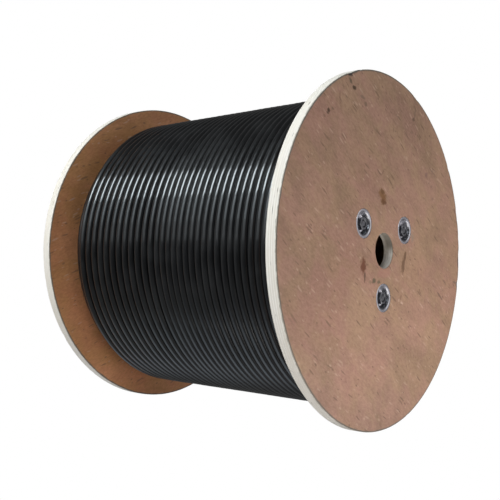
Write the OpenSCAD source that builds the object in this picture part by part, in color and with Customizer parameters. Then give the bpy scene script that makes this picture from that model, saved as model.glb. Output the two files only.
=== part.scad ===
// Cable drum: two plywood flanges on a tube barrel, held together by three
// tie rods, and wound full with one black round cable.
// The drum is built standing on its far flange with its axis along Z, and
// lying_down() then lays it on its rims with the axis along X.

/* [Drum] */
// Diameter of both flanges
flange_d = 400; // [360:5:450]
// Width over the two flanges
drum_w = 358; // [330:1:420]
// Thickness of the plywood
ply_t = 12.5; // [12:0.5:18]
// Chamfer along the flange rims
rim_chamfer = 0.8; // [0.3:0.1:1.5]
// Diameter of the spindle bore in each flange
bore_d = 40; // [25:1:50]

/* [Barrel] */
// Outside diameter of the barrel tube
barrel_d = 128; // [126:1:150]
// Wall thickness of the barrel tube
barrel_wall = 5; // [3:0.5:6]
// Depth of the ring groove that the tube sits in
groove_depth = 4; // [2:0.5:5]
// Clearance between the tube, its grooves and the winding
barrel_fit = 0.25; // [0.1:0.05:0.4]

/* [Cable] */
// Diameter of the cable
cable_d = 8.7; // [7:0.1:10]
// Diameter over the outermost turns
winding_d = 353; // [300:1:356]
// Rise of one layer on the next, as a share of the cable's diameter
layer_rise = 0.86; // [0.8:0.01:1]
// Turns of the outer layer laid openly, towards the far flange
open_turns = 12; // [6:1:14]
// Mean gap between the openly laid turns
open_gap = 2.2; // [0.5:0.1:3]
// How much wider the first open turns are laid, as a share
open_spread = 0.04; // [0:0.01:0.1]
// Least gap between the turns laid close together
close_gap = 0.04; // [0.02:0.01:0.3]
// How far the outer layer stops short of the one below it, at the far end
outer_step = 14.5; // [5:0.5:16]
// How far that one stops short of the layers that reach the far flange
lower_step = 10; // [8:1:24]
// Layers below the outer one that step in over that distance
stepped_layers = 3; // [1:1:5]
// Clearance between the winding and the flanges
winding_fit = 0.2; // [0.1:0.05:0.4]

/* [Tie rods] */
// Clearance between each rod and the inside of the barrel tube
rod_gap = 2; // [1:0.5:8]
// Diameter of each rod
rod_d = 8; // [6:1:8]
// Turn of the rod pattern about the axis, in degrees
rod_turn = -3; // [-60:0.1:60]
// Nut size across its flats
nut_flats = 13; // [10:0.5:13]
// Height of the nut
nut_h = 6.5; // [5:0.5:6.5]

/* [Dished washers] */
// Outside diameter of the washer's flat rim
washer_d = 32; // [30:1:36]
// Diameter of the dish at the face of the flange
dish_d = 26; // [25:0.5:27]
// Diameter of the dish at its floor
dish_floor_d = 19; // [18:0.5:20]
// Depth of the dish below the flange face
dish_depth = 7.8; // [7:0.1:8.5]
// Thickness of the pressed steel sheet
sheet_t = 1.2; // [0.8:0.1:1.5]
// How far the rim stands proud of the flange face
rim_proud = 0.3; // [0.2:0.1:0.5]

/* [Colours] */
// Face veneer
veneer_color = "#a07a60"; // color
// Barrel tube
barrel_color = "#8c7350"; // color
// Cable jacket
cable_color = "#17181b"; // color
// Rods, nuts and washers
steel_color = "#9aa0a4"; // color

/* [Hidden] */

$fn = 96;
flange_r = flange_d / 2;
inner_w = drum_w - 2 * ply_t;
mid_z = drum_w / 2;

barrel_r = barrel_d / 2;
barrel_inner_r = barrel_r - barrel_wall;
barrel_h = inner_w + 2 * groove_depth - 2 * barrel_fit;

cable_r = cable_d / 2;
outer_row_r = winding_d / 2 - cable_r;
inner_row_r = barrel_r + barrel_fit + cable_r;
row_room = outer_row_r - inner_row_r;
layers = floor(row_room / (layer_rise * cable_d)) + 1;
row_rise = row_room / (layers - 1);
// The core of the winding reaches this far out past the middle of each row
core_lift = 0.15 * cable_d;
near_end_z = drum_w - ply_t - winding_fit - cable_r;
far_end_z = ply_t + winding_fit + cable_r;
first_turn_z = far_end_z + lower_step + outer_step;
open_w = open_turns * (cable_d + open_gap);
close_w = near_end_z - first_turn_z - open_w;
close_steps = floor(close_w / (cable_d + close_gap));
close_pitch = close_w / close_steps;
step_w = lower_step / stepped_layers;

rod_r = barrel_inner_r - rod_gap - rod_d / 2;
rod_hole_d = rod_d + 0.6;
rod_inset = 0.6;
nut_bore_d = rod_d + 0.1;
nut_corners = nut_flats / cos(30);
seat_fit = 0.15;
floor_z = sheet_t - dish_depth;

function rod_angle(i) = 120 * (i + 1) + rod_turn;

// Height of each turn of the outer layer, from the far end to the near end
function outer_turn_z(i) =
    i < open_turns
        ? first_turn_z + open_w * spread(i / open_turns)
        : first_turn_z + open_w + (i - open_turns) * close_pitch;
function spread(s) = s * (1 + open_spread * (1 - s));

// Middle radius of a layer, counted inwards from the outer one
function row_r(j) = outer_row_r - j * row_rise;
// Every other layer starts and ends half a turn further in
function row_shift(j) = j % 2 == 0 ? 0 : close_pitch / 2;
function row_far_z(j) =
    j == 0 ? first_turn_z
    : j <= stepped_layers ? far_end_z + (stepped_layers + 1 - j) * step_w
    : far_end_z + row_shift(j - stepped_layers - 1);
function row_near_z(j) = near_end_z - row_shift(j);

module lying_down() {
    translate([-mid_z, 0, flange_r])
        rotate([0, 90, 0])
            children();
}

// Places a child that is drawn with its flange face at z = 0 and the
// outside of the drum above it, on the near or on the far flange
module on_near_face() {
    translate([0, 0, drum_w])
        children();
}

module on_far_face() {
    mirror([0, 0, 1])
        children();
}

module at_rod(i) {
    rotate([0, 0, rod_angle(i)])
        translate([rod_r, 0, 0])
            children();
}

// Outline of the dish with its rim, as the seat in the flange needs it
module dish_seat(fit) {
    translate([0, 0, rim_proud - sheet_t])
        cylinder(d = washer_d + 2 * fit, h = ply_t);
    rotate_extrude()
        polygon([
            [0, -dish_depth],
            [dish_floor_d / 2 + sheet_t + fit, -dish_depth],
            [dish_d / 2 + sheet_t + fit, rim_proud - sheet_t],
            [dish_d / 2 + sheet_t + fit, 1],
            [0, 1]
        ]);
}

// A plywood disc with its outer face at z = 0 and its inner face below
module flange_disc() {
    color(veneer_color)
        difference() {
            rotate_extrude()
                polygon([
                    [0, -ply_t],
                    [flange_r - rim_chamfer, -ply_t],
                    [flange_r, -ply_t + rim_chamfer],
                    [flange_r, -rim_chamfer],
                    [flange_r - rim_chamfer, 0],
                    [0, 0]
                ]);
            translate([0, 0, -ply_t - 1])
                cylinder(d = bore_d, h = ply_t + 2);
            translate([0, 0, -ply_t - 1])
                difference() {
                    cylinder(r = barrel_r + barrel_fit, h = groove_depth + 1);
                    translate([0, 0, -1])
                        cylinder(r = barrel_inner_r - barrel_fit, h = groove_depth + 3);
                }
            for (i = [0:2])
                at_rod(i) {
                    translate([0, 0, -ply_t - 1])
                        cylinder(d = rod_hole_d, h = ply_t + 2);
                    dish_seat(seat_fit);
                }
        }
}

module flange_near() {
    lying_down()
        on_near_face()
            flange_disc();
}

module flange_far() {
    lying_down()
        on_far_face()
            flange_disc();
}

module barrel() {
    color(barrel_color)
        lying_down()
            translate([0, 0, mid_z])
                difference() {
                    cylinder(r = barrel_r, h = barrel_h, center = true);
                    cylinder(r = barrel_inner_r, h = barrel_h + 2, center = true);
                }
}

// Half section of the winding: a core, and on it one circle for each turn of
// the outer layer and for the first and last turn of every layer below it
module winding_section() {
    polygon([
        [barrel_r + barrel_fit, row_far_z(layers - 1)],
        for (j = [layers - 1:-1:0]) [row_r(j) - core_lift, row_far_z(j)],
        for (j = [0:layers - 1]) [row_r(j) - core_lift, row_near_z(j)],
        [barrel_r + barrel_fit, row_near_z(layers - 1)]
    ]);
    translate([outer_row_r - cable_r, row_far_z(0)])
        square([cable_r + core_lift, row_near_z(0) - row_far_z(0)]);
    for (i = [0:open_turns + close_steps])
        translate([outer_row_r, outer_turn_z(i)])
            circle(r = cable_r);
    for (j = [1:layers - 1])
        for (z = [row_far_z(j), row_near_z(j)])
            translate([row_r(j), z])
                circle(r = cable_r);
}

module cable_winding() {
    color(cable_color)
        lying_down()
            rotate_extrude()
                winding_section();
}

module tie_rod(i) {
    color(steel_color)
        lying_down()
            at_rod(i)
                translate([0, 0, rod_inset])
                    cylinder(d = rod_d, h = drum_w - 2 * rod_inset);
}

// A pressed dish with a flat rim, drawn on a flange face at z = 0
module dished_washer() {
    color(steel_color)
        difference() {
            union() {
                translate([0, 0, rim_proud - sheet_t])
                    cylinder(d = washer_d, h = sheet_t);
                rotate_extrude()
                    polygon([
                        [0, -dish_depth],
                        [dish_floor_d / 2 + sheet_t, -dish_depth],
                        [dish_d / 2 + sheet_t, rim_proud - sheet_t],
                        [0, rim_proud - sheet_t]
                    ]);
            }
            rotate_extrude()
                polygon([
                    [0, floor_z],
                    [dish_floor_d / 2, floor_z],
                    [dish_d / 2, rim_proud],
                    [dish_d / 2, 1],
                    [0, 1]
                ]);
            translate([0, 0, -dish_depth - 1])
                cylinder(d = rod_hole_d, h = dish_depth + 1);
        }
}

// A hexagon nut standing on the floor of the dish
module nut() {
    color(steel_color)
        translate([0, 0, floor_z])
            difference() {
                cylinder(d = nut_corners, h = nut_h, $fn = 6);
                translate([0, 0, -1])
                    cylinder(d = nut_bore_d, h = nut_h + 2);
            }
}

module washer_near(i) {
    lying_down()
        on_near_face()
            at_rod(i)
                dished_washer();
}

module washer_far(i) {
    lying_down()
        on_far_face()
            at_rod(i)
                dished_washer();
}

module nut_near(i) {
    lying_down()
        on_near_face()
            at_rod(i)
                nut();
}

module nut_far(i) {
    lying_down()
        on_far_face()
            at_rod(i)
                nut();
}

flange_near();
flange_far();
barrel();
cable_winding();
for (i = [0:2]) {
    tie_rod(i);
    washer_near(i);
    washer_far(i);
    nut_near(i);
    nut_far(i);
}
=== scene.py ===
"""Looks of the cable drum: wound cable, veneered plywood flanges and plated fittings."""
import math
import random

import bmesh
import bpy
from mathutils import Matrix, Vector, noise


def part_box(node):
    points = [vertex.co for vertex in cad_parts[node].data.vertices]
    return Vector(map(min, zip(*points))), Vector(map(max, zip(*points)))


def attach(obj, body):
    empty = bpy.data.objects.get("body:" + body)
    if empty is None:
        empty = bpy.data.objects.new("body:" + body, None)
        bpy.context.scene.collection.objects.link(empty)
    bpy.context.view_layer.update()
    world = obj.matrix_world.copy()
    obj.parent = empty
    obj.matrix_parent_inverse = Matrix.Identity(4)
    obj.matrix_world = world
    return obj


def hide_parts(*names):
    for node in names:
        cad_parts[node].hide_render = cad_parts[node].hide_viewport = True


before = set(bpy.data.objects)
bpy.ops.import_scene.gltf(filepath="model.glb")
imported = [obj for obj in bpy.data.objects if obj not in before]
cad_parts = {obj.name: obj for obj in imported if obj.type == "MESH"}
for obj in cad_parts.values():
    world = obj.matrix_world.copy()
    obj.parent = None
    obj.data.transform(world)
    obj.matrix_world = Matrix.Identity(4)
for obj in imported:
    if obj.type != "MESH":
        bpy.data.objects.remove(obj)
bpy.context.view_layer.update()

# Sizes in metres, by the names of the part's source
NEAR_LOW, NEAR_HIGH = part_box("flange_near")
FAR_FACE_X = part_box("flange_far")[0][0]
AXIS_Z = (NEAR_LOW[2] + NEAR_HIGH[2]) / 2
AXIS = Vector((0, 0, AXIS_Z))
FLANGE_R = (NEAR_HIGH[2] - NEAR_LOW[2]) / 2
PLY_T = NEAR_HIGH[0] - NEAR_LOW[0]
PLIES = 9
RIM_CHAMFER = 0.0008
BORE_R = 0.020
BORE_ARRIS = 0.0006
BARREL_R = 0.064
BARREL_WALL = 0.005
BARREL_FIT = 0.00025
GROOVE_DEPTH = 0.004

CABLE_D = 0.0087
CABLE_R = CABLE_D / 2
LAYER_RISE = 0.86
OPEN_TURNS = 12
OPEN_GAP = 0.0022
OPEN_SPREAD = 0.04
CLOSE_GAP = 0.00004
OUTER_STEP = 0.0145
LOWER_STEP = 0.010
STEPPED_LAYERS = 3

WINDING_LOW, WINDING_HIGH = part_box("cable_winding")
OUTER_ROW_R = (WINDING_HIGH[2] - WINDING_LOW[2]) / 2 - CABLE_R
ROW_ROOM = OUTER_ROW_R - (BARREL_R + BARREL_FIT + CABLE_R)
ROWS = math.floor(ROW_ROOM / (LAYER_RISE * CABLE_D)) + 1
ROW_RISE = ROW_ROOM / (ROWS - 1)
FAR_END_X = WINDING_LOW[0] + CABLE_R
NEAR_END_X = WINDING_HIGH[0] - CABLE_R
FIRST_TURN_X = FAR_END_X + LOWER_STEP + OUTER_STEP
OPEN_W = OPEN_TURNS * (CABLE_D + OPEN_GAP)
CLOSE_W = NEAR_END_X - FIRST_TURN_X - OPEN_W
CLOSE_TURNS = math.floor(CLOSE_W / (CABLE_D + CLOSE_GAP))
CLOSE_PITCH = CLOSE_W / CLOSE_TURNS

# Stray of the outer turns along the axis: turn number and distance
LAY_STRAY = [(0, 0.0002), (8, 0.0002), (12, 0.0004), (18, 0.0001), (25, 0.0013), (27, 0.0012), (31, 0.0)]

ROD_R = 0.004
ROD_GAP = 0.002
ROD_INSET = 0.0006
ROD_HOLE_R = ROD_R + 0.0003
ROD_CIRCLE_R = BARREL_R - BARREL_WALL - ROD_GAP - ROD_R
ROD_TURN = math.radians(-3)
ROD_ANGLES = [math.radians(120 * i + 30) + ROD_TURN for i in range(3)]
THREAD_PITCH = 0.00125
THREAD_TURNS = 9
NUT_FLATS = 0.013
NUT_H = 0.0065

WASHER_R = 0.016
DISH_R = 0.013
DISH_FLOOR_R = 0.0095
DISH_DEPTH = 0.0078
SHEET_T = 0.0012
RIM_PROUD = 0.0003
RIM_DEPTH = SHEET_T - RIM_PROUD
FLOOR_DEPTH = DISH_DEPTH - SHEET_T
SEAT_FIT = 0.00015

# Camera
VIEW_TURN = math.radians(39.54)
VIEW_RISE = math.radians(-0.64)
VIEW_DISTANCE = 0.9335
VIEW_AIM = Vector((-0.0098, -0.0081, AXIS_Z + 0.0020))
LENS_MM = 52.66


def place_camera():
    data = bpy.data.cameras.new("camera")
    data.lens = LENS_MM
    data.sensor_width = 36
    data.clip_end = 50
    camera = bpy.data.objects.new("camera", data)
    turn = Matrix.Rotation(VIEW_TURN, 4, "Z") @ Matrix.Rotation(math.pi / 2 - VIEW_RISE, 4, "X")
    back = turn.to_3x3() @ Vector((0, 0, 1))
    camera.matrix_world = Matrix.Translation(VIEW_AIM + VIEW_DISTANCE * back) @ turn
    bpy.context.scene.collection.objects.link(camera)
    bpy.context.scene.camera = camera


# Studio light
NEUTRAL = (1.0, 0.98, 0.95)


def softbox(name, place, facing, width, height, level, tint, mirrored=True):
    """A lit panel at place, measured from the middle of the drum; its level is 1 where it is plain white."""
    data = bpy.data.lights.new(name, "AREA")
    data.shape = "RECTANGLE"
    data.size = width
    data.size_y = height
    data.energy = level * math.pi * width * height
    data.color = tint
    lamp = bpy.data.objects.new(name, data)
    lamp.location = AXIS + Vector(place)
    lamp.rotation_mode = "QUATERNION"
    lamp.rotation_quaternion = (-Vector(facing)).to_track_quat("Z", "Y")
    lamp.visible_camera = False
    lamp.visible_glossy = mirrored
    bpy.context.scene.collection.objects.link(lamp)


def light_studio():
    """Panels that the glossy cable mirrors, and panels that only lift the bare wood."""
    softbox("key_panel", place=(0.140, -0.958, 0.965), facing=(-0.116, 0.665, -0.740),
            width=0.74, height=0.405, level=13.2, tint=(0.84, 0.94, 1.0))
    softbox("spill_high", place=(0.02, -1.20, 0.640), facing=(-0.017, 0.86, -0.50),
            width=1.30, height=0.38, level=1.35, tint=(0.83, 0.93, 1.0))
    softbox("spill_low", place=(0.02, -1.33, 0.332), facing=(-0.017, 0.96, -0.26),
            width=1.6, height=0.32, level=0.55, tint=(0.90, 0.96, 1.0))
    softbox("front_table", place=(-0.06, -0.200, -0.215), facing=(0, 0, 1),
            width=0.44, height=0.24, level=0.50, tint=(0.94, 0.97, 1.0), mirrored=False)
    softbox("side_fill", place=(1.10, 0.36, 0.20), facing=(-0.95, -0.25, -0.15),
            width=1.0, height=1.0, level=0.50, tint=(1.0, 0.985, 0.97))
    softbox("front_fill", place=(0.45, -0.95, 0.95), facing=(-0.33, 0.67, -0.67),
            width=0.8, height=0.8, level=1.30, tint=NEUTRAL, mirrored=False)
    softbox("right_table", place=(0.53, 0.0, -0.26), facing=(0, 0, 1),
            width=0.50, height=0.5, level=1.0, tint=NEUTRAL)
    softbox("right_bounce", place=(0.51, 0.0, -0.27), facing=(0, 0, 1),
            width=0.50, height=0.9, level=2.05, tint=NEUTRAL, mirrored=False)
    softbox("left_fill", place=(-0.55, -0.95, 0.25), facing=(0.45, 0.88, -0.20),
            width=0.9, height=0.9, level=2.1, tint=(1.0, 0.98, 0.94), mirrored=False)


def studio_world():
    """White sweep for the camera and behind the drum; a dim room with a pale table for the other rays."""
    world = bpy.data.worlds.new("studio")
    bpy.context.scene.world = world
    world.use_nodes = True
    g = Graph(world.node_tree)
    g.tree.nodes.clear()
    way = g.node("ShaderNodeTexCoord").outputs["Generated"]
    parts = g.node("ShaderNodeSeparateXYZ", Vector=way).outputs
    height = parts["Z"]
    around = g.smooth(parts["X"], -0.6, 0.1)
    front = g.mix(around, (0.12, 0.123, 0.127), (0.02, 0.021, 0.022))
    low = g.mix(g.smooth(parts["X"], 0.2, 0.8), (0.10, 0.105, 0.11), (0.22, 0.215, 0.21))
    front = g.mix(g.smooth(height, -0.10, -0.55), front, low)
    wall = g.mix(g.smooth(parts["X"], 0.25, 0.60), (0.09, 0.09, 0.09), (0.42, 0.405, 0.43))
    room = g.mix(g.smooth(parts["Y"], -0.1, 0.4), front, wall)
    room = g.mix(g.smooth(height, 0.60, 0.90), room, (0.045, 0.045, 0.045))
    ahead = g.math("MULTIPLY",
                   g.smooth(parts["Y"], -0.74, -0.42),
                   g.smooth(parts["Y"], 0.44, 0.02))
    beside = g.math("MULTIPLY",
                    g.smooth(parts["X"], 0.14, -0.14),
                    g.smooth(parts["X"], -0.80, -0.50))
    ground = g.math("MULTIPLY", g.math("MULTIPLY", ahead, beside), g.smooth(height, -0.42, -0.62))
    room = g.mix(ground, room, (0.62, 0.70, 0.78))
    behind = g.vector("DOT_PRODUCT", way, (-math.sin(VIEW_TURN), math.cos(VIEW_TURN), 0))
    sweep = g.math("MULTIPLY",
                   g.smooth(behind, 0.86, 0.95, 0.0, 0.25),
                   g.smooth(g.math("ABSOLUTE", height), 0.22, 0.08))
    rays = g.node("ShaderNodeLightPath").outputs
    mirrored = g.math("MAXIMUM", rays["Is Glossy Ray"], rays["Is Transmission Ray"])
    white = g.math("MAXIMUM", rays["Is Camera Ray"], g.math("MULTIPLY", mirrored, sweep))
    color = g.mix(white, room, (1, 1, 1))
    shade = g.node("ShaderNodeBackground", Color=color)
    g.link(shade.outputs[0], g.node("ShaderNodeOutputWorld").inputs["Surface"])


# Node helpers
class Graph:
    """Short calls that add nodes to one tree and join them."""

    def __init__(self, tree):
        self.tree = tree

    def node(self, kind, **values):
        made = self.tree.nodes.new(kind)
        for key, value in values.items():
            if key in made.inputs:
                self.put(made.inputs[key], value)
            else:
                setattr(made, key, value)
        return made

    def link(self, out, into):
        self.tree.links.new(out, into)

    def put(self, socket, value):
        if isinstance(value, bpy.types.NodeSocket):
            self.link(value, socket)
        elif isinstance(value, (tuple, list)) and socket.type == "RGBA" and len(value) == 3:
            socket.default_value = (*value, 1)
        else:
            socket.default_value = value

    def math(self, operation, a, b=0.0, c=0.0):
        made = self.node("ShaderNodeMath", operation=operation)
        for socket, value in zip(made.inputs, (a, b, c)):
            self.put(socket, value)
        return made.outputs[0]

    def vector(self, operation, a, b=(0, 0, 0)):
        made = self.node("ShaderNodeVectorMath", operation=operation)
        self.put(made.inputs[0], a)
        self.put(made.inputs[1], b)
        return made.outputs["Value" if operation in ("LENGTH", "DOT_PRODUCT") else "Vector"]

    def smooth(self, value, low, high, to_low=0.0, to_high=1.0):
        """Eases from to_low to to_high as value goes from low to high."""
        made = self.node("ShaderNodeMapRange", interpolation_type="SMOOTHSTEP")
        self.put(made.inputs["Value"], value)
        flip = low > high
        self.put(made.inputs["From Min"], high if flip else low)
        self.put(made.inputs["From Max"], low if flip else high)
        self.put(made.inputs["To Min"], to_high if flip else to_low)
        self.put(made.inputs["To Max"], to_low if flip else to_high)
        return made.outputs["Result"]

    def mix(self, share, a, b, blend="MIX"):
        made = self.node("ShaderNodeMix", data_type="RGBA", blend_type=blend)
        self.put(made.inputs[0], share)
        self.put(made.inputs[6], a)
        self.put(made.inputs[7], b)
        return made.outputs[2]

    def noise(self, vector, scale, detail=2.0, roughness=0.5, distortion=0.0):
        made = self.node("ShaderNodeTexNoise", Vector=vector, Scale=scale, Detail=detail,
                         Roughness=roughness, Distortion=distortion)
        return made.outputs["Fac"]

    def bump(self, height, distance, strength=1.0):
        made = self.node("ShaderNodeBump", Height=height, Distance=distance, Strength=strength)
        return made.outputs["Normal"]


def new_group(name, inputs, outputs):
    """An empty shader node group; inputs and outputs are lists of (name, kind, default)."""
    tree = bpy.data.node_groups.new(name, "ShaderNodeTree")
    kinds = {"float": "NodeSocketFloat", "vector": "NodeSocketVector", "color": "NodeSocketColor"}
    for in_out, sockets in (("INPUT", inputs), ("OUTPUT", outputs)):
        for label, kind, default in sockets:
            made = tree.interface.new_socket(name=label, in_out=in_out, socket_type=kinds[kind])
            if default is not None:
                made.default_value = default
    g = Graph(tree)
    entry = g.node("NodeGroupInput").outputs
    end = g.node("NodeGroupOutput").inputs
    return g, entry, end, tree


def use_group(g, tree, **values):
    made = g.node("ShaderNodeGroup", node_tree=tree)
    for key, value in values.items():
        g.put(made.inputs[key.replace("_", " ")], value)
    return made.outputs


def new_material(name):
    made = bpy.data.materials.new(name)
    made.use_nodes = True
    g = Graph(made.node_tree)
    surface = made.node_tree.nodes["Principled BSDF"]
    return made, g, surface


def place_on_drum(g):
    """Object coordinates, measured from the middle of the drum's axis."""
    place = g.node("ShaderNodeTexCoord").outputs["Object"]
    return g.node("ShaderNodeMapping", Vector=place, Location=(0, 0, -AXIS_Z)).outputs["Vector"]


# Shared effects
def make_wood_figure():
    """Rotary cut veneer: mottling of tone and hue, fine grain, and short dark and pale strokes."""
    g, entry, end, tree = new_group(
        "wood_figure",
        [("Vector", "vector", None), ("Turn", "float", 0.0), ("Offset", "float", 0.0)],
        [("Mottle", "float", None), ("Hue", "float", None), ("Grain", "float", None),
         ("Pores", "float", None), ("Flecks", "float", None), ("Height", "float", None)])
    turned = g.node("ShaderNodeVectorRotate", rotation_type="X_AXIS", Vector=entry["Vector"],
                    Angle=entry["Turn"]).outputs[0]
    shift = g.node("ShaderNodeCombineXYZ", X=entry["Offset"]).outputs[0]
    along = g.vector("ADD", turned, shift)
    parts = g.node("ShaderNodeSeparateXYZ", Vector=along).outputs
    across = g.math("MULTIPLY_ADD", g.noise(along, 16.0, 1.0), 0.014, parts["Z"])

    def strokes(start, length, width, size, kept):
        """Scattered strokes in cells of length by width; kept is the share of the cells that have one."""
        spot = g.node("ShaderNodeCombineXYZ",
                      X=g.math("MULTIPLY_ADD", parts["Y"], 1 / length, start),
                      Y=g.math("MULTIPLY_ADD", across, 1 / width, start)).outputs[0]
        cells = g.node("ShaderNodeTexVoronoi", voronoi_dimensions="2D", Vector=spot, Scale=1.0)
        draw = g.node("ShaderNodeSeparateColor", Color=cells.outputs["Color"]).outputs
        reach = g.math("DIVIDE", cells.outputs["Distance"], g.math("MULTIPLY_ADD", draw[1], 0.8, 0.6))
        near = g.smooth(reach, size, size * 0.45)
        return g.math("MULTIPLY", near, g.smooth(draw[0], 1 - kept, 1 - kept * 0.5))

    mottle = g.noise(g.vector("MULTIPLY", along, (20, 12, 28)), 1.0, 3.0, 0.6, 0.6)
    hue = g.noise(g.vector("MULTIPLY", along, (26, 22, 36)), 1.0, 3.0, 0.6, 0.3)
    grain = g.noise(g.vector("MULTIPLY", along, (300, 170, 420)), 1.0, 4.0, 0.7, 0.4)
    pores = g.math("MAXIMUM",
                   strokes(3.1, 0.026, 0.0044, 0.27, 0.18),
                   strokes(17.3, 0.010, 0.005, 0.22, 0.09))
    flecks = g.math("MAXIMUM",
                    strokes(8.7, 0.020, 0.0044, 0.25, 0.15),
                    strokes(29.9, 0.010, 0.005, 0.23, 0.09))
    made = {"Mottle": mottle, "Hue": hue, "Grain": grain, "Pores": pores, "Flecks": flecks}
    for label, value in made.items():
        g.link(value, end[label])
    g.link(g.math("SUBTRACT", g.math("MULTIPLY", grain, 0.5), pores), end["Height"])
    return tree


def make_mark():
    """One stain, knot or scuff: a soft spot of a given size, turned and broken up a little."""
    g, entry, end, tree = new_group(
        "mark",
        [("Vector", "vector", None), ("Centre", "vector", None), ("Half Size", "vector", None),
         ("Turn", "float", 0.0), ("Ragged", "float", 0.35), ("Scale", "float", 260.0)],
        [("Mask", "float", None)])
    from_centre = g.vector("SUBTRACT", entry["Vector"], entry["Centre"])
    turned = g.node("ShaderNodeVectorRotate", rotation_type="X_AXIS", Vector=from_centre,
                    Angle=entry["Turn"]).outputs[0]
    reach = g.vector("LENGTH", g.vector("DIVIDE", turned, entry["Half Size"]))
    torn = g.math("SUBTRACT", g.noise(entry["Vector"], entry["Scale"], 3.0, 0.6), 0.5)
    spread = g.math("MULTIPLY_ADD", torn, g.math("MULTIPLY", entry["Ragged"], 4.0), reach)
    g.link(g.smooth(spread, 1.15, 0.55), end["Mask"])
    return tree


def make_ply_layers():
    """Cut edge of plywood: plies that show long grain and end grain in turn, with glue lines."""
    g, entry, end, tree = new_group(
        "ply_layers",
        [("Vector", "vector", None), ("Face X", "float", 0.0), ("Ply", "float", PLY_T / PLIES)],
        [("End Grain", "float", None), ("Glue", "float", None), ("Tone", "float", None),
         ("Height", "float", None)])
    parts = g.node("ShaderNodeSeparateXYZ", Vector=entry["Vector"]).outputs
    depth = g.math("DIVIDE", g.math("SUBTRACT", parts["X"], entry["Face X"]), entry["Ply"])
    wander = g.math("SUBTRACT", g.noise(entry["Vector"], 28.0, 2.0), 0.5)
    level = g.math("MULTIPLY_ADD", wander, 0.22, depth)
    place = g.math("FRACT", g.math("MULTIPLY", level, 0.5))
    odd = g.math("GREATER_THAN", place, 0.5)
    in_ply = g.math("FRACT", level)
    to_line = g.math("ABSOLUTE", g.math("SUBTRACT", in_ply, 0.5))
    glue = g.smooth(to_line, 0.36, 0.48)
    turn = g.math("ARCTAN2", parts["Z"], parts["Y"])
    swing = g.math("ABSOLUTE", g.math("COSINE", g.math("ADD", turn, g.math("MULTIPLY", odd, math.pi / 2))))
    end_grain = g.math("MULTIPLY", swing, swing)
    fibres = g.noise(g.vector("MULTIPLY", entry["Vector"], (1500, 420, 420)), 1.0, 3.0, 0.65)
    tone = g.noise(g.vector("MULTIPLY", entry["Vector"], (260, 40, 40)), 1.0, 3.0, 0.6)
    g.link(end_grain, end["End Grain"])
    g.link(glue, end["Glue"])
    g.link(tone, end["Tone"])
    raised = g.math("MULTIPLY", fibres, g.math("MULTIPLY_ADD", end_grain, 0.7, 0.3))
    g.link(g.math("MULTIPLY_ADD", glue, -0.5, raised), end["Height"])
    return tree


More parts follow.
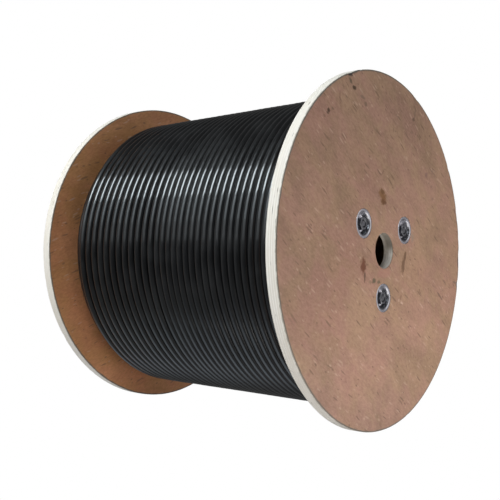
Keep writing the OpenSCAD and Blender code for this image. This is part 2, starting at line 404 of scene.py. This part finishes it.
# Materials
# Stains, knots and scuffs of the near face, listed: across and up from the axis, half width and
# half height in mm, turn, colour and strength
FACE_MARKS = [
    (-4.6, 63.5, 8.4, 6.0, 0.3, (0.200, 0.096, 0.034), 0.90),
    (-1.8, 57.5, 6.6, 8.0, 0.2, (0.190, 0.086, 0.032), 0.95),
    (-1.0, 54.5, 5.6, 3.4, 0.2, (0.125, 0.055, 0.022), 0.80),
    (-5.0, 66.0, 4.8, 2.6, 0.3, (0.130, 0.060, 0.024), 0.75),
    (-46.2, -16.5, 6.6, 9.6, 0.0, (0.150, 0.054, 0.027), 0.97),
    (-43.2, -28.5, 2.4, 6.5, 0.1, (0.120, 0.060, 0.038), 0.85),
    (48.2, -6.6, 3.2, 6.5, 0.35, (0.150, 0.080, 0.042), 0.88),
    (43.0, -17.5, 4.8, 10.0, 0.15, (0.160, 0.084, 0.046), 0.88),
    (0.0, -25.5, 20.0, 6.0, 0.0, (0.37, 0.175, 0.140), 0.55),
    (-23.0, -33.2, 4.2, 3.0, 0.2, (0.100, 0.084, 0.048), 0.85),
    (-12.6, -35.0, 4.2, 2.4, 0.1, (0.120, 0.088, 0.054), 0.80),
    (-31.0, -34.5, 3.0, 2.0, 0.2, (0.200, 0.140, 0.080), 0.6),
    (37.5, -54.0, 2.0, 4.0, 0.6, (0.230, 0.120, 0.075), 0.7),
    (40.0, -60.5, 3.6, 1.8, 0.3, (0.62, 0.43, 0.34), 0.6),
    (33.0, -57.0, 2.0, 2.4, 0.6, (0.60, 0.42, 0.33), 0.5),
    (-69.0, 187.4, 20.0, 2.9, -0.36, (0.050, 0.045, 0.037), 0.9),
    (-70.5, 185.6, 6.0, 3.4, -0.36, (0.035, 0.028, 0.028), 0.9),
    (-71.0, 177.8, 5.5, 2.2, 0.8, (0.120, 0.085, 0.050), 0.85),
    (-63.5, 171.8, 4.4, 2.6, 0.0, (0.070, 0.038, 0.018), 0.95),
    (-112.6, 140.2, 3.2, 2.4, 0.0, (0.065, 0.032, 0.016), 0.95),
    (-114.5, 137.4, 2.8, 1.8, 0.0, (0.085, 0.045, 0.025), 0.8),
    (-105.0, 143.0, 2.8, 1.6, 0.3, (0.150, 0.085, 0.055), 0.7),
    (-91.6, 156.9, 1.6, 7.0, 0.0, (0.200, 0.100, 0.068), 0.6),
    (-46.5, 164.5, 6.5, 2.2, 0.2, (0.160, 0.105, 0.072), 0.65),
    (-40.0, 158.0, 3.0, 3.6, 0.1, (0.145, 0.088, 0.058), 0.7),
    (71.0, 157.6, 3.4, 2.4, 0.0, (0.130, 0.072, 0.045), 0.85),
    (74.5, 165.5, 1.6, 8.0, 0.25, (0.190, 0.115, 0.078), 0.7),
    (66.0, 141.0, 4.0, 1.6, 0.0, (0.20, 0.12, 0.085), 0.5),
    (21.6, 138.4, 1.6, 3.6, 0.0, (0.20, 0.12, 0.08), 0.5),
    (104.5, 94.0, 5.0, 3.6, 0.0, (0.215, 0.120, 0.098), 0.65),
    (121.0, 99.0, 14.0, 1.1, 0.46, (0.200, 0.120, 0.080), 0.65),
    (144.0, 88.0, 10.0, 1.1, 0.46, (0.56, 0.38, 0.27), 0.5),
    (118.4, 81.0, 3.0, 2.0, 0.0, (0.20, 0.12, 0.085), 0.5),
    (121.0, 65.4, 3.4, 2.2, 0.0, (0.20, 0.12, 0.085), 0.5),
    (-1.9, 89.0, 7.5, 1.0, -0.75, (0.20, 0.11, 0.075), 0.6),
    (141.0, -56.3, 11.0, 1.9, 0.6, (0.160, 0.095, 0.065), 0.8),
    (124.0, -43.5, 7.0, 1.2, 0.45, (0.21, 0.13, 0.09), 0.6),
    (90.0, -66.0, 8.0, 1.3, 0.6, (0.56, 0.39, 0.30), 0.5),
    (82.0, -26.0, 2.0, 6.0, -0.3, (0.21, 0.13, 0.09), 0.5),
    (55.0, 40.5, 7.0, 4.0, 0.0, (0.28, 0.15, 0.09), 0.35),
    (67.0, 16.0, 4.5, 6.0, 0.0, (0.25, 0.23, 0.19), 0.35),
    (195.0, 43.0, 3.4, 7.0, 0.0, (0.120, 0.085, 0.060), 0.8),
    (197.8, -14.0, 3.4, 9.0, 0.0, (0.090, 0.075, 0.058), 0.85),
    (194.5, -42.7, 4.4, 4.6, 0.0, (0.050, 0.040, 0.026), 0.9),
    (187.0, -40.5, 8.0, 1.5, 0.2, (0.150, 0.100, 0.075), 0.7),
]


def veneer(name, turn, offset, light, dark, blush, marks):
    """Face veneer, dry and slightly sheeny, with the stains and knots of this drum."""
    made, g, surface = new_material(name)
    place = place_on_drum(g)
    figure = use_group(g, WOOD_FIGURE, Vector=place, Turn=turn, Offset=offset)
    color = g.mix(g.smooth(figure["Mottle"], 0.32, 0.68), dark, light)
    blotch = g.noise(g.vector("ADD", place, (offset * 3 + 1.3, 0.4, 0.9)), 11.0, 2.0, 0.5)
    color = g.mix(g.smooth(blotch, 0.46, 0.70, 0.0, 0.65), color, blush)
    cast = g.mix(g.smooth(figure["Hue"], 0.36, 0.64), (0.99, 1.030, 0.97), (1.01, 0.968, 1.03))
    color = g.mix(1.0, color, cast, "MULTIPLY")
    # Painted shade: the veneer is darkened by up to a tenth towards the top and the front (-Y) side of the
    # face, and lightened a little towards the bottom.
    painted_shade_drift = g.smooth(g.vector("DOT_PRODUCT", place, (0, -0.6, 0.8)), -0.12, 0.16)
    color = g.mix(1.0, color, g.mix(painted_shade_drift, (1.03, 1.03, 1.03), (0.90, 0.90, 0.90)), "MULTIPLY")
    grain = g.smooth(figure["Grain"], 0.30, 0.70)
    color = g.mix(1.0, color, g.mix(grain, (0.87, 0.86, 0.85), (1.10, 1.10, 1.10)), "MULTIPLY")
    color = g.mix(g.math("MULTIPLY", figure["Pores"], 0.62), color, (0.16, 0.090, 0.058))
    color = g.mix(g.math("MULTIPLY", figure["Flecks"], 0.42), color, (0.55, 0.38, 0.29))
    for across, up, half_w, half_h, lean, tint, strength in marks:
        mask = use_group(g, MARK, Vector=place, Centre=(0, across / 1000, up / 1000),
                         Half_Size=(1.0, half_w / 1000, half_h / 1000), Turn=lean)["Mask"]
        color = g.mix(g.math("MULTIPLY", mask, strength), color, tint)
    out = g.vector("LENGTH", g.vector("MULTIPLY", place, (0, 1, 1)))
    frayed = g.math("MULTIPLY_ADD", g.noise(place, 90.0, 3.0), 0.0022, out)
    edge = g.smooth(frayed, FLANGE_R - 0.0012, FLANGE_R + 0.0001, 0.0, 0.85)
    color = g.mix(edge, color, (0.12, 0.115, 0.095))
    g.put(surface.inputs["Base Color"], color)
    g.put(surface.inputs["Roughness"], g.smooth(figure["Grain"], 0.3, 0.7, 0.62, 0.50))
    surface.inputs["Specular IOR Level"].default_value = 0.35
    g.put(surface.inputs["Normal"], g.bump(figure["Height"], 0.00025, 0.5))
    return made


def cut_ply(name, face_x):
    """Raw sawn plywood with glue lines, gaps and a torn arris; the upper wall of its bore has painted shade.
    """
    made, g, surface = new_material(name)
    place = place_on_drum(g)
    layers = use_group(g, PLY_LAYERS, Vector=place, Face_X=face_x)
    color = g.mix(layers["End Grain"], (0.81, 0.765, 0.705), (0.71, 0.655, 0.59))
    color = g.mix(g.smooth(layers["Tone"], 0.62, 0.38, 0.0, 0.35), color, (0.68, 0.62, 0.53))
    color = g.mix(g.math("MULTIPLY", layers["Glue"], 0.45), color, (0.42, 0.35, 0.25))
    gap = g.noise(g.vector("MULTIPLY", place, (420, 60, 60)), 1.0, 1.0, 0.4)
    color = g.mix(g.smooth(gap, 0.70, 0.77, 0.0, 0.70), color, (0.14, 0.11, 0.08))
    parts = g.node("ShaderNodeSeparateXYZ", Vector=place).outputs
    depth = g.math("ABSOLUTE", g.math("SUBTRACT", parts["X"], face_x))
    torn = g.math("MULTIPLY_ADD", g.noise(place, 140.0, 3.0, 0.6), 0.0030, depth)
    arris = g.smooth(torn, PLY_T + 0.0002, PLY_T + 0.0011, 0.0, 0.65)
    color = g.mix(arris, color, (0.20, 0.17, 0.13))
    # Painted shade: the upper wall of the bore is darkened, the more the deeper in, where the bore's rim
    # shades it.
    bored = g.smooth(g.vector("LENGTH", g.vector("MULTIPLY", place, (0, 1, 1))), 0.030, 0.024)
    above = g.smooth(g.math("MULTIPLY_ADD", layers["Tone"], 0.006, parts["Z"]), -0.003, 0.010)
    inside = g.smooth(depth, 0.001, 0.006, 0.45, 0.85)
    painted_bore_shade = g.math("MULTIPLY", g.math("MULTIPLY", bored, above), inside)
    color = g.mix(painted_bore_shade, color, (0.15, 0.13, 0.10))
    g.put(surface.inputs["Base Color"], color)
    surface.inputs["Roughness"].default_value = 0.85
    surface.inputs["Specular IOR Level"].default_value = 0.25
    g.put(surface.inputs["Normal"], g.bump(layers["Height"], 0.0003, 0.7))
    return made


def cable_jacket(name):
    """Glossy black extruded jacket with faint die lines and handling haze."""
    made, g, surface = new_material(name)
    place = place_on_drum(g)
    haze = g.noise(place, 34.0, 3.0, 0.55)
    fine = g.noise(g.vector("MULTIPLY", place, (900, 60, 60)), 1.0, 2.0, 0.5)
    dust = g.noise(place, 420.0, 2.0, 0.5)
    color = g.mix(g.smooth(haze, 0.40, 0.70), (0.0050, 0.0050, 0.0053), (0.0085, 0.0085, 0.0088))
    color = g.mix(g.smooth(dust, 0.72, 0.80, 0.0, 0.25), color, (0.06, 0.058, 0.055))
    g.put(surface.inputs["Base Color"], color)
    g.put(surface.inputs["Roughness"], g.smooth(haze, 0.35, 0.70, 0.30, 0.42))
    height = g.math("MULTIPLY_ADD", haze, 2.0, fine)
    g.put(surface.inputs["Normal"], g.bump(height, 0.00006, 0.35))
    surface.inputs["Specular IOR Level"].default_value = 0.4
    surface.inputs["Coat Weight"].default_value = 1.0
    surface.inputs["Coat Roughness"].default_value = 0.11
    return made


def zinc_plate(name, color, rough):
    """Zinc plated steel: cool grey with cloudy passivation and small dull spots."""
    made, g, surface = new_material(name)
    place = place_on_drum(g)
    cloud = g.noise(place, 180.0, 3.0, 0.6)
    spots = g.noise(place, 900.0, 2.0, 0.5)
    tint = g.mix(g.smooth(cloud, 0.35, 0.68), color, tuple(c * 0.86 for c in color))
    tint = g.mix(g.smooth(spots, 0.66, 0.78, 0.0, 0.30), tint, (0.30, 0.29, 0.27))
    g.put(surface.inputs["Base Color"], tint)
    surface.inputs["Metallic"].default_value = 1.0
    g.put(surface.inputs["Roughness"], g.smooth(cloud, 0.3, 0.7, rough - 0.05, rough + 0.10))
    g.put(surface.inputs["Normal"], g.bump(spots, 0.00008, 0.3))
    return made


def wound_board(name):
    """Spiral wound brown board of the barrel tube."""
    made, g, surface = new_material(name)
    place = place_on_drum(g)
    parts = g.node("ShaderNodeSeparateXYZ", Vector=place).outputs
    turn = g.math("ARCTAN2", parts["Z"], parts["Y"])
    lay = g.math("FRACT", g.math("MULTIPLY_ADD", parts["X"], 9.0, g.math("DIVIDE", turn, 2 * math.pi)))
    seam = g.smooth(g.math("ABSOLUTE", g.math("SUBTRACT", lay, 0.5)), 0.475, 0.495)
    fibres = g.noise(place, 380.0, 4.0, 0.65)
    color = g.mix(g.smooth(fibres, 0.3, 0.7), (0.20, 0.13, 0.07), (0.30, 0.20, 0.115))
    color = g.mix(g.math("MULTIPLY", seam, 0.6), color, (0.10, 0.065, 0.035))
    g.put(surface.inputs["Base Color"], color)
    surface.inputs["Roughness"].default_value = 0.9
    g.put(surface.inputs["Normal"], g.bump(g.math("SUBTRACT", fibres, seam), 0.0002, 0.5))
    return made


# Mesh helpers
def keep_piece(name, bm, materials, replaced, sharp=35.0):
    """Turns a finished bmesh into a piece that rides with the drum."""
    bmesh.ops.remove_doubles(bm, verts=bm.verts, dist=1e-6)
    bmesh.ops.recalc_face_normals(bm, faces=bm.faces)
    mesh = bpy.data.meshes.new(name)
    for face in bm.faces:
        face.smooth = True
    bm.to_mesh(mesh)
    bm.free()
    mesh.set_sharp_from_angle(angle=math.radians(sharp))
    for material in materials:
        mesh.materials.append(material)
    piece = bpy.data.objects.new(name, mesh)
    bpy.context.scene.collection.objects.link(piece)
    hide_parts(*replaced)
    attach(piece, "root")


def turn_profile(bm, profile, centre, steps, closed=False):
    """Turns a profile of (x, radius) points round an axis that runs along X through centre."""
    verts = [bm.verts.new(centre + Vector((x, radius, 0))) for x, radius in profile]
    ends = verts[1:] + verts[:1] if closed else verts[1:]
    edges = [bm.edges.new(pair) for pair in zip(verts, ends)]
    bmesh.ops.spin(bm, geom=verts + edges, cent=centre, axis=(1, 0, 0), dvec=(0, 0, 0),
                   angle=math.tau, steps=steps, use_merge=True, use_normal_flip=False,
                   use_duplicate=False)


def under_face(face_x, inward, outline):
    """Turns an outline of (depth under a flange's face, radius) into one of (x, radius)."""
    return [(face_x + inward * depth, radius) for depth, radius in outline]


def rod_centre(i):
    return AXIS + ROD_CIRCLE_R * Vector((0, math.cos(ROD_ANGLES[i]), math.sin(ROD_ANGLES[i])))


# Wound cable
HELIX_PITCH = 0.030


def ease(share):
    share = min(max(share, 0.0), 1.0)
    return share * share * (3 - 2 * share)


def outer_turn_x(i):
    """Place of each turn of the outer layer: open turns first, then close ones."""
    if i < OPEN_TURNS:
        share = i / OPEN_TURNS
        even = FIRST_TURN_X + OPEN_W * share * (1 + OPEN_SPREAD * (1 - share))
    else:
        even = FIRST_TURN_X + OPEN_W + (i - OPEN_TURNS) * CLOSE_PITCH
    return even + lay_stray(i)


def lay_stray(i):
    """How far a turn lies from even spacing."""
    for (a, low), (b, high) in zip(LAY_STRAY, LAY_STRAY[1:]):
        if i <= b:
            return low + (high - low) * ease((i - a) / (b - a))
    return 0.0


def row_radius(row):
    return OUTER_ROW_R - row * ROW_RISE


def row_shift(row):
    return 0.0 if row % 2 == 0 else CLOSE_PITCH / 2


def row_far_x(row):
    if row == 0:
        return FIRST_TURN_X
    if row <= STEPPED_LAYERS:
        return FAR_END_X + (STEPPED_LAYERS + 1 - row) * LOWER_STEP / STEPPED_LAYERS
    return FAR_END_X + row_shift(row - STEPPED_LAYERS - 1)


def row_near_x(row):
    return NEAR_END_X - row_shift(row)


def turn_place(places, wound):
    """Where the cable is along the axis after so many turns; it passes the front of the drum at n + 0.5.

    Most turns run as a steady helix. The last eight lie ever flatter and cross over at the back.
    """
    last = len(places) - 1
    n = math.floor(wound - 0.5)
    if n >= last:
        return places[-1]
    n = max(n, 0)
    share = wound - 0.5 - n
    lean = min(1.0, (last - n) / 8)
    crossing = ease((share - 0.43) / 0.14)
    return places[n] + (places[n + 1] - places[n]) * (lean * share + (1 - lean) * crossing)


def even_turn(radius, sides, steps):
    """One turn of a wide, even helix that starts behind the drum."""
    bm = bmesh.new()
    bmesh.ops.create_circle(bm, segments=sides, radius=CABLE_R,
                            matrix=Matrix.Translation(AXIS + Vector((0, radius, 0))))
    bmesh.ops.spin(bm, geom=bm.verts[:] + bm.edges[:], cent=AXIS, axis=(1, 0, 0), angle=math.tau,
                   steps=steps, dvec=(HELIX_PITCH / steps, 0, 0), use_merge=False,
                   use_normal_flip=False, use_duplicate=False)
    mesh = bpy.data.meshes.new("even_turn")
    bm.to_mesh(mesh)
    bm.free()
    return mesh


def lay_row(name, places, radius, sides, steps, material, rise):
    """A layer of turns: copies of one even turn, each drawn to its place and joined to the last."""
    even = even_turn(radius, sides, steps)
    bm = bmesh.new()
    for i in range(len(places)):
        known = len(bm.verts)
        bm.from_mesh(even)
        for v in bm.verts[:][known:]:
            angle = math.atan2(v.co.z - AXIS_Z, v.co.y) % math.tau
            # Share of this turn that is wound when the cable comes to this vertex
            within = round(v.co.x / HELIX_PITCH - angle / math.tau) + angle / math.tau
            side, sink = wander(places[i] + within * CLOSE_PITCH, angle)
            sink -= rise * (1 - ease((i + within) / 0.16))
            v.co.x += turn_place(places, i + within) - within * HELIX_PITCH + side
            v.co += Vector((0, math.cos(angle), math.sin(angle))) * sink
    bpy.data.meshes.remove(even)
    bmesh.ops.remove_doubles(bm, verts=bm.verts, dist=2e-5)
    bmesh.ops.holes_fill(bm, edges=[e for e in bm.edges if e.is_boundary], sides=0)
    return keep_piece(name, bm, [material], ["cable_winding"], 60.0)


def wander(x, turn):
    """Turns laid by machine still stray sideways and sink by a few tenths of a millimetre."""
    spot = Vector((x * 60, math.cos(turn) * 1.4, math.sin(turn) * 1.4))
    return noise.noise(spot) * 0.00055, noise.noise(spot + Vector((7.3, 1.1, 4.9))) * 0.00018 - 0.00009


def wind_cable(jacket):
    """The two layers that show are wound; under them, a core shows each layer's first and last turn."""
    outer = [outer_turn_x(i) for i in range(OPEN_TURNS + CLOSE_TURNS + 1)]
    lay_row("cable_outer_layer", outer, row_radius(0), sides=16, steps=96, material=jacket, rise=ROW_RISE)
    span = row_near_x(1) - row_far_x(1)
    count = math.floor(span / CLOSE_PITCH)
    second = [row_far_x(1) + span * i / count for i in range(count + 1)]
    lay_row("cable_second_layer", second, row_radius(1), sides=12, steps=72, material=jacket, rise=0.0)

    bm = bmesh.new()
    corners = [math.tau * k / 12 for k in range(12)]
    for row in range(2, ROWS):
        for x in (row_far_x(row), row_near_x(row)):
            circle = [(x + CABLE_R * math.cos(a), row_radius(row) + CABLE_R * math.sin(a)) for a in corners]
            turn_profile(bm, circle, AXIS, steps=72, closed=True)
    keep_piece("cable_end_turns", bm, [jacket], ["cable_winding"], 60.0)

    bm = bmesh.new()
    inner_r = row_radius(ROWS - 1) - CABLE_R
    under_second_r = row_radius(1) - CABLE_R * 0.6
    profile = [(row_far_x(ROWS - 1), inner_r)]
    profile += [(row_far_x(row), row_radius(row)) for row in range(ROWS - 1, 1, -1)]
    profile += [(row_far_x(2), under_second_r), (row_near_x(2), under_second_r)]
    profile += [(row_near_x(row), row_radius(row)) for row in range(2, ROWS)]
    profile += [(row_near_x(ROWS - 1), inner_r)]
    turn_profile(bm, profile, AXIS, steps=96, closed=True)
    keep_piece("cable_core", bm, [jacket], ["cable_winding"], 30.0)


# Flanges
# Rings of edges that the two faces are filled between
HUB_R = 0.070
RING_R = 0.130


def flange_board(name, node, face_x, inward, materials, seed):
    """A plywood disc: turned rim, bore, ring groove and bolt seats, joined by its two faces."""
    bm = bmesh.new()
    t, r = PLY_T, FLANGE_R
    groove_outer_r = BARREL_R + BARREL_FIT
    groove_inner_r = BARREL_R - BARREL_WALL - BARREL_FIT
    arris = [(0, r - 0.0022), (0, r - RIM_CHAMFER), (0.00025, r - 0.00028), (RIM_CHAMFER, r),
             (0.0022, r), (0.0045, r)]
    rim = [(0, HUB_R), (0, RING_R), (0, r - 0.0040), *arris, (t / 2, r)]
    rim += [(t - depth, radius) for depth, radius in reversed(arris)]
    rim += [(t, RING_R), (t, groove_outer_r), (t - GROOVE_DEPTH, groove_outer_r),
            (t - GROOVE_DEPTH, groove_inner_r), (t, groove_inner_r)]
    turn_profile(bm, under_face(face_x, inward, rim), AXIS, steps=384)
    bore = [(0, BORE_R + BORE_ARRIS), (BORE_ARRIS, BORE_R),
            (t - BORE_ARRIS, BORE_R), (t, BORE_R + BORE_ARRIS)]
    turn_profile(bm, under_face(face_x, inward, bore), AXIS, steps=96)
    under_dish = SHEET_T + SEAT_FIT
    seat = [(0, WASHER_R + SEAT_FIT), (RIM_DEPTH, WASHER_R + SEAT_FIT), (RIM_DEPTH, DISH_R + under_dish),
            (DISH_DEPTH, DISH_FLOOR_R + under_dish), (DISH_DEPTH, ROD_HOLE_R), (t, ROD_HOLE_R)]
    for i in range(3):
        turn_profile(bm, under_face(face_x, inward, seat), rod_centre(i), steps=64)
    for plane in (face_x, face_x + inward * t):
        loops = [e for e in bm.edges if e.is_boundary
                 and all(abs(v.co.x - plane) < 1e-6 for v in e.verts)]
        bmesh.ops.triangle_fill(bm, edges=loops, use_beauty=True, use_dissolve=False, normal=(1, 0, 0))
    bmesh.ops.recalc_face_normals(bm, faces=bm.faces)
    for face in bm.faces:
        depth = abs(face.calc_center_median().x - face_x)
        veneered = abs(face.normal.x) > 0.7 and not 0.0005 < depth < t - 0.0005
        face.material_index = 0 if veneered else 1
    chip_rim(bm, face_x, inward, seed)
    keep_piece(name, bm, materials, [node], 30.0)


def chip_rim(bm, face_x, inward, seed):
    """Small splinters broken out of the edge of the face veneer, and a slightly uneven saw cut."""
    draw = random.Random(seed)
    # Place round the rim, length and depth of each chip
    chips = [(draw.uniform(0, math.tau), draw.uniform(0.006, 0.016), draw.uniform(0.0002, 0.0004))
             for _ in range(16)]
    if inward < 0:
        chips += [(math.radians(12.3), 0.016, 0.0003), (math.radians(-3.1), 0.022, 0.0003),
                  (math.radians(-12.1), 0.014, 0.0005), (math.radians(110.5), 0.024, 0.0008)]
    for v in bm.verts:
        arm = Vector((0, v.co.y, v.co.z - AXIS_Z))
        if arm.length < FLANGE_R - 0.003:
            continue
        turn = math.atan2(arm.z, arm.y)
        out = arm.normalized()
        saw = noise.noise(Vector((math.cos(turn) * 9, math.sin(turn) * 9, v.co.x * 40)))
        v.co += out * saw * 0.00012
        depth = abs(v.co.x - face_x)
        if depth > 0.001:
            continue
        for place, length, size in chips:
            gap = abs((turn - place + math.pi) % math.tau - math.pi) * FLANGE_R
            if gap < length / 2:
                share = math.cos(gap / length * math.pi) ** 2
                v.co += inward * Vector((1, 0, 0)) * size * share - out * size * share


# Fittings
# The pressed sheet from the rod hole out over the shoulder to the rim, and back under it: depth and radius
WASHER_SECTION = [
    (FLOOR_DEPTH, ROD_HOLE_R), (FLOOR_DEPTH, 0.0091), (FLOOR_DEPTH - 0.0004, 0.0098),
    (FLOOR_DEPTH - 0.0011, 0.0102), (0.0045, 0.01066), (0.0032, 0.01112), (0.0021, 0.01152),
    (0.0013, 0.01184), (0.0007, 0.01222), (0.0002, 0.01275), (-0.00012, 0.01340), (-RIM_PROUD, 0.01410),
    (-RIM_PROUD, WASHER_R - 0.00045), (-0.0001, WASHER_R - 0.0001), (0.0003, WASHER_R),
    (0.0007, WASHER_R - 0.0001), (RIM_DEPTH, WASHER_R - 0.0004), (RIM_DEPTH, 0.01460), (0.0013, 0.01400),
    (DISH_DEPTH - 0.0009, 0.01115), (DISH_DEPTH - 0.0003, 0.01065), (DISH_DEPTH, 0.0098),
    (DISH_DEPTH, ROD_HOLE_R),
]


def fittings(side, face_x, inward, bright, dull):
    """Dished washers and nuts on one face."""
    for i in range(3):
        centre = rod_centre(i) + Vector((face_x, 0, 0))
        washer = f"dished_washer_{side}_{i + 1}"
        bm = bmesh.new()
        turn_profile(bm, under_face(0, inward, WASHER_SECTION), centre, steps=72, closed=True)
        keep_piece(f"{washer}_piece", bm, [bright], [washer], 40.0)
        hexagon_nut(f"nut_{side}_{i + 1}", centre, inward, dull, turn=0.31 + i * 0.9)


def hexagon_nut(node, centre, inward, material, turn):
    """A hexagon nut with turned corners and a countersunk thread."""
    base = FLOOR_DEPTH
    top = base - NUT_H
    flat_r = NUT_FLATS / 2
    side_r = flat_r * 1.1
    end_r = flat_r * 0.94
    mouth_r = 0.0046
    thread_r = 0.0040
    outline = [(top, mouth_r), (top, end_r), (top + 0.0004, side_r), (base - 0.0004, side_r), (base, end_r),
               (base, mouth_r), (base - 0.0007, thread_r), (top + 0.0007, thread_r)]
    bm = bmesh.new()
    turn_profile(bm, under_face(0, inward, outline), centre, steps=72, closed=True)
    for v in bm.verts:
        arm = Vector((0, v.co.y - centre.y, v.co.z - centre.z))
        if arm.length < flat_r:
            continue
        angle = (math.atan2(arm.z, arm.y) - turn) % (math.pi / 3) - math.pi / 6
        reach = flat_r / math.cos(angle)
        spill = (reach - end_r) * math.tan(math.radians(28))
        outer = abs(v.co.x - centre.x - inward * (top + 0.0004)) < 1e-6
        v.co.y, v.co.z = (centre + arm.normalized() * reach).yz
        v.co.x = centre.x + inward * (top + spill if outer else base - spill)
    keep_piece(f"{node}_piece", bm, [material], [node], 20.0)


def tie_rods(material):
    """Threaded ends turned with rings at the thread's pitch, and a plain shank between."""
    half = NEAR_HIGH[0] - ROD_INSET
    end = [(half, 0.0), (half, 0.0030), (half - 0.0005, 0.0034)]
    for k in range(THREAD_TURNS):
        x = half - 0.0008 - k * THREAD_PITCH
        end += [(x, 0.00338), (x - THREAD_PITCH * 0.4, 0.0039), (x - THREAD_PITCH * 0.6, 0.0039)]
    end += [(end[-1][0] - 0.001, 0.0037)]
    profile = end + [(-x, radius) for x, radius in reversed(end)]
    for i in range(3):
        bm = bmesh.new()
        turn_profile(bm, profile, rod_centre(i), steps=40)
        keep_piece(f"tie_rod_{i + 1}_piece", bm, [material], [f"tie_rod_{i + 1}"], 30.0)


# Build
place_camera()
light_studio()
studio_world()
bpy.context.scene.view_settings.view_transform = "Standard"

WOOD_FIGURE = make_wood_figure()
MARK = make_mark()
PLY_LAYERS = make_ply_layers()

VENEER_NEAR = veneer("veneer_near_face", turn=math.radians(33), offset=0.0, light=(0.385, 0.230, 0.155),
                     dark=(0.300, 0.181, 0.119), blush=(0.368, 0.204, 0.143), marks=FACE_MARKS)
# The far face is the same veneer as the near one; its brighter, more saturated orange is painted warm bounce
# light.
VENEER_FAR_PAINTED_BOUNCE = veneer("veneer_far_face_painted_bounce", turn=math.radians(-20), offset=0.7, light=(0.56, 0.262, 0.118),
                    dark=(0.44, 0.198, 0.083), blush=(0.52, 0.216, 0.094), marks=[])
PLY_NEAR = cut_ply("cut_ply_near", NEAR_LOW[0])
PLY_FAR = cut_ply("cut_ply_far", FAR_FACE_X)
JACKET = cable_jacket("cable_jacket")
ZINC = zinc_plate("zinc_plate", (0.64, 0.64, 0.68), 0.27)
ZINC_DARK = zinc_plate("zinc_plate_dull", (0.24, 0.245, 0.26), 0.30)

wind_cable(JACKET)
flange_board("flange_near_board", "flange_near", NEAR_HIGH[0], -1, [VENEER_NEAR, PLY_NEAR], seed=11)
flange_board("flange_far_board", "flange_far", FAR_FACE_X, 1, [VENEER_FAR_PAINTED_BOUNCE, PLY_FAR], seed=23)
fittings("near", NEAR_HIGH[0], -1, ZINC, ZINC_DARK)
fittings("far", FAR_FACE_X, 1, ZINC, ZINC_DARK)
tie_rods(ZINC_DARK)
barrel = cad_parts["barrel"]
barrel.data.materials.clear()
barrel.data.materials.append(wound_board("wound_board"))
